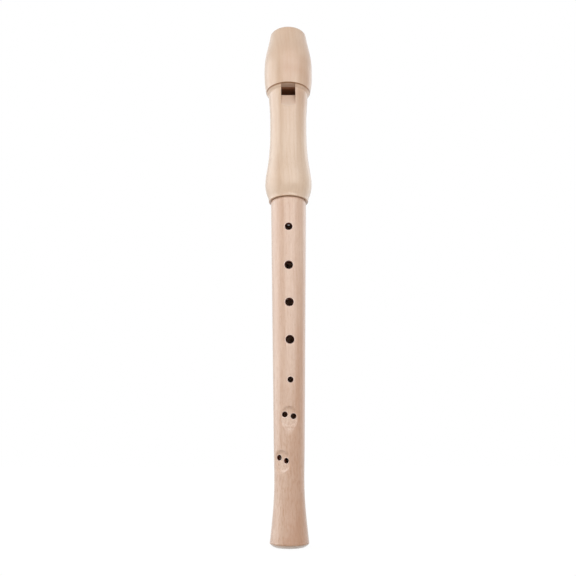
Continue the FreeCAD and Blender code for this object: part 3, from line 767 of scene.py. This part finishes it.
def drilled_maple(colours):
    """Maple, turned, drilled and oiled: pinkish and close-grained, browner and more flecked to the foot.

    The drilled walls are painted dark brown, as painted shade in the holes, and their rims pale,
    partly worn wood and partly painted highlight. The seats show flecks of cut fibre, and painted
    shade on their upper slope. The foot's sharp edge is painted dark and the round under it grey,
    as painted shade and painted floor reflection. The browner bands down the right side and towards
    the foot are partly the wood's own tone, partly painted shade on the side away from the light.
    """
    material, grain, shader = wood(
        "maple, turned and oiled, drilled", colours.lower_light, colours.lower_dark, colours.end_grain,
        ring_spacing=2.1, pith=(70, 40, 0), tilt_degrees=(0.6, 1.4, 0), seed=3.0)
    tree = material.node_tree
    place = add_node(tree, COORDINATES).outputs["Object"]
    height = add_node(tree, SEPARATE, {0: place}).outputs["Z"]
    # Browner bands, partly the wood's own tone and partly painted shade
    layers = [(heartwood_and_shade(tree, place, *band), colours.heart_and_shade) for band in HEARTWOOD_AND_SHADE]

    mottle = streaks(tree, place, MOTTLE)
    mottle = add_node(tree, MAP_RANGE, {"Value": mottle, "From Min": 0.46, "From Max": 0.66})
    share = add_node(tree, MAP_RANGE, {
        "Value": height, "From Min": 30 * MM, "From Max": 120 * MM, "To Min": 0.42, "To Max": 0.12})
    mottle = add_node(tree, MATH, {0: mottle, 1: share}, operation="MULTIPLY")
    layers.append((mottle, colours.heart_and_shade))

    seat, rise, cut = (
        add_node(tree, "ShaderNodeAttribute", attribute_name=name).outputs["Fac"]
        for name in ("seat", "seat_rise", "cut"))
    fleck = streaks(tree, place, CUT_FIBRES)
    fleck = add_node(tree, MAP_RANGE, {
        "Value": fleck, "From Min": 0.42, "From Max": 0.6, "To Min": 1.0, "To Max": 0.0})
    bare = add_node(tree, MAP_RANGE, {"Value": seat, "From Min": 0.02, "From Max": 0.5, "To Max": 0.42})
    bare = add_node(tree, MATH, {0: bare, 1: fleck}, operation="MULTIPLY")
    # Painted shade on a seat's upper slope
    top = add_node(tree, MAP_RANGE, {
        "Value": rise, "From Min": 0.5, "From Max": 3.5, "To Max": 0.75}, interpolation_type="SMOOTHSTEP")
    layers.append((bare, layered(tree, colours.seat, [(top, colours.seat_top_shade)])))

    # Painted shade: a dark line at the foot's sharp edge, and the round under it greyed as painted shade and
    # painted floor reflection
    edge_height = FOOT_RIM[1] * MM
    edge_width = 0.5 * MM
    under = add_node(tree, MAP_RANGE, {
        "Value": height, "From Min": edge_height - 0.4 * MM, "From Max": edge_height - 0.1 * MM,
        "To Min": 0.8, "To Max": 0.0})
    edge = add_node(tree, MATH, {0: height, 1: edge_height, 2: edge_width}, operation="COMPARE")
    edge = add_node(tree, MATH, {0: edge, 1: 0.6}, operation="MULTIPLY")
    layers += [(under, colours.foot), (edge, colours.dark_line_and_shade)]

    # Pale rims: partly worn wood, partly painted highlight
    rim = add_node(tree, MAP_RANGE, {
        "Value": cut, "From Min": WALL_END, "From Max": WALL_END + 0.2, "To Max": 0.9})
    # Painted shade on the walls in the holes
    entered = add_node(tree, MATH, {0: cut, 1: 0.001}, operation="GREATER_THAN")
    inside = add_node(tree, MAP_RANGE, {
        "Value": cut, "From Min": 0.58, "From Max": 0.74, "To Min": 1.0, "To Max": 0.0})
    inside = add_node(tree, MATH, {0: inside, 1: entered}, operation="MULTIPLY")
    layers += [(rim, colours.rim), (inside, colours.drilled)]
    tree.links.new(layered(tree, grain, layers), shader.inputs["Base Color"])
    return material


def sheet_cork(colours):
    """Cork sheet, sanded and greased: matt, with light grains and darker pores between them."""
    grain_size, blot_size = 1.3 * MM, 0.5 * MM
    material = new_material("cork sheet, sanded")
    tree = material.node_tree
    place = add_node(tree, COORDINATES).outputs["Object"]
    cells = add_node(tree, "ShaderNodeTexVoronoi", {"Vector": place, "Scale": 1 / grain_size})
    blot = add_node(tree, NOISE, {"Vector": place, "Scale": 1 / blot_size, "Detail": 3.0})
    mixed = add_node(tree, MATH, {0: cells.outputs["Distance"], 1: blot}, operation="MULTIPLY")
    pores = add_node(tree, MAP_RANGE, {"Value": mixed, "From Min": 0.22, "From Max": 0.5})
    tint = layered(tree, colours.cork_light, [(pores, colours.cork_dark)])
    bump = add_node(tree, "ShaderNodeBump", {
        "Height": pores, "Strength": 0.5, "Distance": 0.08 * MM}, invert=True)
    shader = add_node(tree, "ShaderNodeBsdfPrincipled", {
        "Base Color": tint, "Roughness": 0.75, "Normal": bump})
    add_node(tree, "ShaderNodeOutputMaterial", {"Surface": shader})
    return material


def give_material(node, material):
    """Puts a material in a carried-over node's slots."""
    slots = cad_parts[node].data.materials
    slots.clear()
    slots.append(material)


# Operators of the pieces

class RECORDER_OT_finish_head(bpy.types.Operator):
    """Finish the head joint in oiled maple"""
    bl_idname = "recorder.finish_head"
    bl_label = "Finish the head joint"

    def execute(self, context):
        give_material("head_joint", scribed_maple(context.scene.recorder_colours))
        return {"FINISHED"}


class RECORDER_OT_finish_block(bpy.types.Operator):
    """Finish the block in bare red cedar, which is warm brown, matt and straight-grained"""
    bl_idname = "recorder.finish_block"
    bl_label = "Finish the block"

    def execute(self, context):
        colours = context.scene.recorder_colours
        give_material("block", wood(
            "red cedar, bare", colours.block_light, colours.block_dark, colours.block_dark,
            ring_spacing=1.5, pith=(15, 30, 0), tilt_degrees=(0, 1, 0), seed=5.0, roughness=0.6,
            coat=0.0)[0])
        return {"FINISHED"}


class RECORDER_OT_turn_lower_joint(bpy.types.Operator):
    """Turn, dish and drill the lower joint"""
    bl_idname = "recorder.turn_lower_joint"
    bl_label = "Turn the lower joint"

    def execute(self, context):
        holes = context.scene.recorder_holes
        side = lower_outline()
        piece = grow("lower_joint_wood", side + tenon_outline(), lower_joint_tree(radius_on(side)), {
            "Segments": holes.segments, "Hole Rim": holes.rim, "Pair Rim": holes.pair_rim,
            "Undercut": holes.undercut, "Seat Depth": holes.seat_depth, "Seat Softness": holes.seat_softness,
            "Material": drilled_maple(context.scene.recorder_colours)})
        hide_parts("lower_joint")
        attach(piece, "lower")
        return {"FINISHED"}


class RECORDER_OT_wrap_cork(bpy.types.Operator):
    """Wrap the tenon in its cork sleeve"""
    bl_idname = "recorder.wrap_cork"
    bl_label = "Wrap the cork"

    def execute(self, context):
        cork = context.scene.recorder_cork
        inner, outer, low, high = CORK_SLEEVE
        run = high - low - 2 * CORK_CHAMFER
        outline = [(inner, low), (outer - CORK_CHAMFER, low)]
        outline += [(outer, low + CORK_CHAMFER + run * i / CORK_ROWS) for i in range(CORK_ROWS + 1)]
        outline += [(outer - CORK_CHAMFER, high), (inner, high)]
        piece = grow("tenon_cork_sleeve", outline, cork_tree(), {
            "Segments": cork.segments, "Unevenness": cork.unevenness, "Seed": cork.seed,
            "Material": sheet_cork(context.scene.recorder_colours)})
        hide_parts("tenon_cork")
        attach(piece, "cork")
        return {"FINISHED"}


# Studio: place and size of each lamp in metres, and the photograph's view as it was fitted, with
# its tilt and roll in degrees and its lens in mm

LAMPS = {
    "softbox": ((0.2, -0.98, 0.62), (1.58, 0.95)),
    "left_edge": ((-1.08, 0.02, 0.5), (1.2, 1.0)),
    "right_edge": ((0.88, 0.68, 0.5), (0.6, 0.9)),
}
LAMP_TARGET = (0, 0, 0.16)
FLOOR_REACH = 3.0
FLOOR_BELOW = 0.05 * MM
CAMERA_PLACE = (-0.73 * MM, -401.2 * MM, 49 * MM)
CAMERA_TILT = 14.2
CAMERA_ROLL = 0.145
CAMERA_LENS = 41.875


def white_for_camera(tree, ordinary, shining, share):
    """Mixes in a shining white wherever the surface is seen directly or in a reflection."""
    path = add_node(tree, "ShaderNodeLightPath").outputs
    seen = path["Is Camera Ray"]
    for ray in ("Is Glossy Ray", "Is Transmission Ray"):
        seen = add_node(tree, MATH, {0: seen, 1: path[ray]}, operation="MAXIMUM")
    factor = add_node(tree, MATH, {0: seen, 1: share}, operation="MULTIPLY")
    return add_node(tree, "ShaderNodeMixShader", {0: factor, 1: ordinary, 2: shining})


def set_world(front, back):
    """White surroundings that light the object more from behind, so that both its edges stand out pale."""
    world = bpy.data.worlds.new("white_studio")
    world.use_nodes = True
    tree = world.node_tree
    tree.nodes.clear()
    white = (1, 1, 1, 1)
    parts = add_node(tree, SEPARATE, {0: add_node(tree, COORDINATES).outputs["Generated"]})
    strength = add_node(tree, MAP_RANGE, {
        "Value": parts.outputs["Y"], "From Min": -0.6, "From Max": 0.6, "To Min": front, "To Max": back})
    surroundings = add_node(tree, "ShaderNodeBackground", {"Color": white, "Strength": strength})
    seen = add_node(tree, "ShaderNodeBackground", {"Color": white})
    add_node(tree, "ShaderNodeOutputWorld", {"Surface": white_for_camera(tree, surroundings, seen, 1.0)})
    bpy.context.scene.world = world


def set_floor(colour):
    """Pale paper that is white to the camera far off and keeps a trace of shadow round the object."""
    near, far = 0.2, 0.7  # metres from the foot
    share_near = 0.9
    strength = 1.05  # over 1, because near the object a tenth of what is seen is the lit paper
    mesh = bpy.data.meshes.new("floor")
    corners = [
        (x * FLOOR_REACH, y * FLOOR_REACH, -FLOOR_BELOW) for x, y in ((-1, -1), (1, -1), (1, 1), (-1, 1))]
    mesh.from_pydata(corners, [], [(0, 1, 2, 3)])
    floor = bpy.data.objects.new("floor", mesh)
    bpy.context.collection.objects.link(floor)
    material = new_material("pale paper, matt")
    tree = material.node_tree
    matt = add_node(tree, "ShaderNodeBsdfDiffuse", {"Color": opaque(colour)})
    seen = add_node(tree, "ShaderNodeEmission", {"Strength": strength})
    away = add_node(tree, VECTOR_MATH, {
        0: add_node(tree, COORDINATES).outputs["Object"]}, operation="LENGTH").outputs["Value"]
    share = add_node(tree, MAP_RANGE, {
        "Value": away, "From Min": near, "From Max": far, "To Min": share_near})
    add_node(tree, "ShaderNodeOutputMaterial", {"Surface": white_for_camera(tree, matt, seen, share)})
    mesh.materials.append(material)


def set_lamp(name, power):
    place, size = LAMPS[name]
    lamp = bpy.data.lights.new(name, "AREA")
    lamp.shape = "RECTANGLE"
    lamp.size, lamp.size_y = size
    lamp.energy = power
    obj = bpy.data.objects.new(name, lamp)
    obj.location = place
    obj.rotation_euler = (Vector(LAMP_TARGET) - Vector(place)).to_track_quat("-Z", "Y").to_euler()
    bpy.context.collection.objects.link(obj)


def set_camera():
    camera = bpy.data.cameras.new("camera")
    camera.sensor_width = 36
    camera.lens = CAMERA_LENS
    camera.clip_start, camera.clip_end = 0.01, 20
    obj = bpy.data.objects.new("camera", camera)
    obj.location = CAMERA_PLACE
    obj.rotation_euler = (math.radians(90 + CAMERA_TILT), math.radians(CAMERA_ROLL), 0)
    bpy.context.collection.objects.link(obj)
    bpy.context.scene.camera = obj


class RECORDER_OT_set_studio(bpy.types.Operator):
    """Set the floor, the lights and the camera"""
    bl_idname = "recorder.set_studio"
    bl_label = "Set the studio"

    def execute(self, context):
        studio = context.scene.recorder_studio
        set_world(studio.front, studio.back)
        set_floor(studio.floor)
        set_lamp("softbox", studio.key_power)
        set_lamp("left_edge", studio.left_power)
        set_lamp("right_edge", studio.right_power)
        set_camera()
        context.scene.view_settings.view_transform = "Standard"
        return {"FINISHED"}


class RECORDER_PT_steps(bpy.types.Panel):
    """Steps and settings of the recorder"""
    bl_idname = "RECORDER_PT_steps"
    bl_label = "Soprano recorder"
    bl_space_type = "VIEW_3D"
    bl_region_type = "UI"
    bl_category = "Recorder"

    def draw(self, context):
        for operator in OPERATORS:
            self.layout.operator(operator.bl_idname)
        for place in SETTINGS:
            settings = getattr(context.scene, place)
            box = self.layout.box()
            for name in settings.__annotations__:
                box.prop(settings, name)


OPERATORS = (
    RECORDER_OT_finish_head, RECORDER_OT_finish_block, RECORDER_OT_turn_lower_joint, RECORDER_OT_wrap_cork,
    RECORDER_OT_set_studio)
SETTINGS = {
    "recorder_holes": RecorderHoles, "recorder_cork": RecorderCork, "recorder_colours": RecorderColours,
    "recorder_studio": RecorderStudio}
CLASSES = tuple(SETTINGS.values()) + OPERATORS + (RECORDER_PT_steps,)


def register():
    for cls in CLASSES:
        bpy.utils.register_class(cls)
    for place, settings in SETTINGS.items():
        setattr(bpy.types.Scene, place, PointerProperty(type=settings))


def unregister():
    for place in SETTINGS:
        delattr(bpy.types.Scene, place)
    for cls in reversed(CLASSES):
        bpy.utils.unregister_class(cls)


def main():
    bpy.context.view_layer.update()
    register()
    bpy.ops.recorder.finish_head()
    bpy.ops.recorder.finish_block()
    bpy.ops.recorder.turn_lower_joint()
    bpy.ops.recorder.wrap_cork()
    bpy.ops.recorder.set_studio()


if __name__ == "__main__":
    main()
